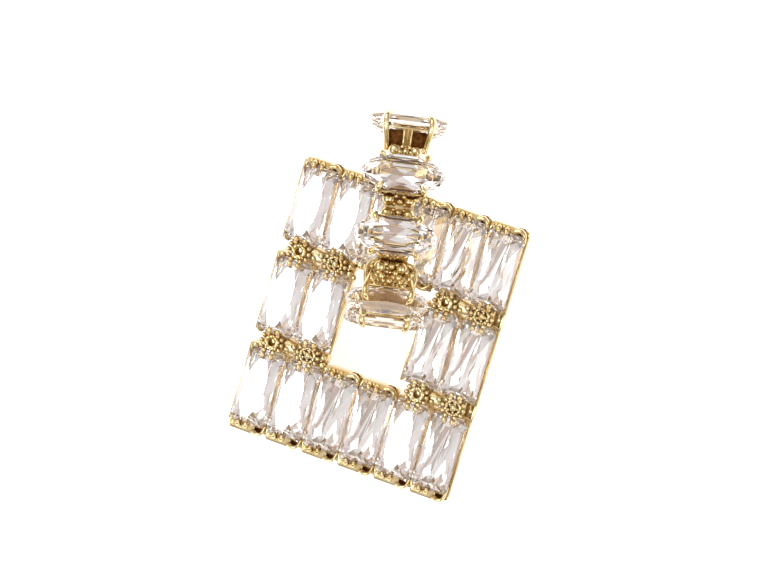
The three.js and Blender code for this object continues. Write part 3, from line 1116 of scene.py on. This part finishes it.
def studio_dome():
    """World light: a white studio with a darker band low down and a warm panel on the right."""
    world = bpy.data.worlds.new("studio")
    world.use_nodes = True
    tree = world.node_tree
    tree.nodes.clear()
    where = add_node(tree, "ShaderNodeTexCoord").outputs["Generated"]
    axes = add_node(tree, "ShaderNodeSeparateXYZ", links={"Vector": where})
    dome = add_node(tree, "ShaderNodeValToRGB", links={"Fac": axes.outputs["Z"]})
    set_stops(dome.color_ramp, [(height, linear(code)) for height, code in DOME])
    sides = add_node(
        tree, "ShaderNodeMapRange", {"From Min": -1.0, "To Min": 0.0}, {"Value": axes.outputs["X"]}
    )
    panels = add_node(tree, "ShaderNodeValToRGB", links={"Fac": sides.outputs["Result"]})
    set_stops(panels.color_ramp, [(side, linear(code)) for side, code in PANELS])
    light = add_node(tree, "ShaderNodeMix", {"data_type": "RGBA", "blend_type": "MULTIPLY"})
    light.inputs["Factor"].default_value = 1.0
    tree.links.new(dome.outputs["Color"], light.inputs[6])
    tree.links.new(panels.outputs["Color"], light.inputs[7])
    sky = add_node(tree, "ShaderNodeBackground", {"Strength": DOME_STRENGTH}, {"Color": light.outputs[2]})
    add_node(tree, "ShaderNodeOutputWorld", links={"Surface": sky.outputs["Background"]})
    return world


def softbox(name, place, width, height, power, roll):
    """Rectangular soft light that faces the earring, turned in its own plane."""
    light = bpy.data.lights.new(name, "AREA")
    light.shape = "RECTANGLE"
    light.size = width
    light.size_y = height
    light.energy = power
    lamp = bpy.data.objects.new(name, light)
    lamp.location = place
    facing = (Vector(place) - Vector(SOFTBOX_AIM)).to_track_quat("Z", "Y").to_matrix()
    lamp.rotation_euler = (facing @ Matrix.Rotation(math.radians(roll), 3, "Z")).to_euler()
    bpy.context.scene.collection.objects.link(lamp)


def studio_camera():
    """Camera above the earring, aimed at the middle of its box."""
    camera = bpy.data.cameras.new("camera")
    camera.lens = LENS
    camera.sensor_width = SENSOR
    camera.clip_start = 0.01
    camera.clip_end = 5
    place = Vector(CAMERA_PLACE) * MM
    low, high = CAD_BOX
    back = (place - (low + high) / 2).normalized()
    right = Vector(CAMERA_UP).cross(back).normalized()
    up = back.cross(right)
    view = bpy.data.objects.new("camera", camera)
    view.matrix_world = Matrix.Translation(place) @ Matrix((right, up, back)).transposed().to_4x4()
    bpy.context.scene.collection.objects.link(view)
    return view


class EARRING_OT_stage(bpy.types.Operator):
    """White board, soft studio light and camera"""

    bl_idname = "earring.stage"
    bl_label = "Stage"

    def execute(self, context):
        scene = context.scene
        board_floor(scene.earring_colours)
        scene.world = studio_dome()
        for values in SOFTBOXES:
            softbox(*values)
        scene.camera = studio_camera()
        scene.view_settings.view_transform = "Standard"
        scene.cycles.max_bounces = BOUNCES
        scene.cycles.transmission_bounces = BOUNCES
        scene.cycles.glossy_bounces = BOUNCES
        return {"FINISHED"}


class EARRING_PT_panel(bpy.types.Panel):
    """Lists the earring's pieces, sizes and colours"""

    bl_idname = "EARRING_PT_panel"
    bl_label = "Earring"
    bl_space_type = "VIEW_3D"
    bl_region_type = "UI"
    bl_category = "Earring"

    def draw(self, context):
        for operator in OPERATORS:
            self.layout.operator(operator.bl_idname)
        for group in (context.scene.earring_sizes, context.scene.earring_colours):
            for name in group.__annotations__:
                self.layout.prop(group, name)


OPERATORS = (
    EARRING_OT_drop_setting,
    EARRING_OT_hoop_setting,
    EARRING_OT_crystals,
    EARRING_OT_stage,
)
CLASSES = (EarringSizes, EarringColours, *OPERATORS, EARRING_PT_panel)


def register():
    for cls in CLASSES:
        bpy.utils.register_class(cls)
    bpy.types.Scene.earring_sizes = bpy.props.PointerProperty(type=EarringSizes)
    bpy.types.Scene.earring_colours = bpy.props.PointerProperty(type=EarringColours)


def unregister():
    del bpy.types.Scene.earring_colours
    del bpy.types.Scene.earring_sizes
    for cls in reversed(CLASSES):
        bpy.utils.unregister_class(cls)


def main():
    register()
    bpy.ops.earring.drop_setting()
    bpy.ops.earring.hoop_setting()
    bpy.ops.earring.crystals()
    bpy.ops.earring.stage()


if __name__ == "__main__":
    main()
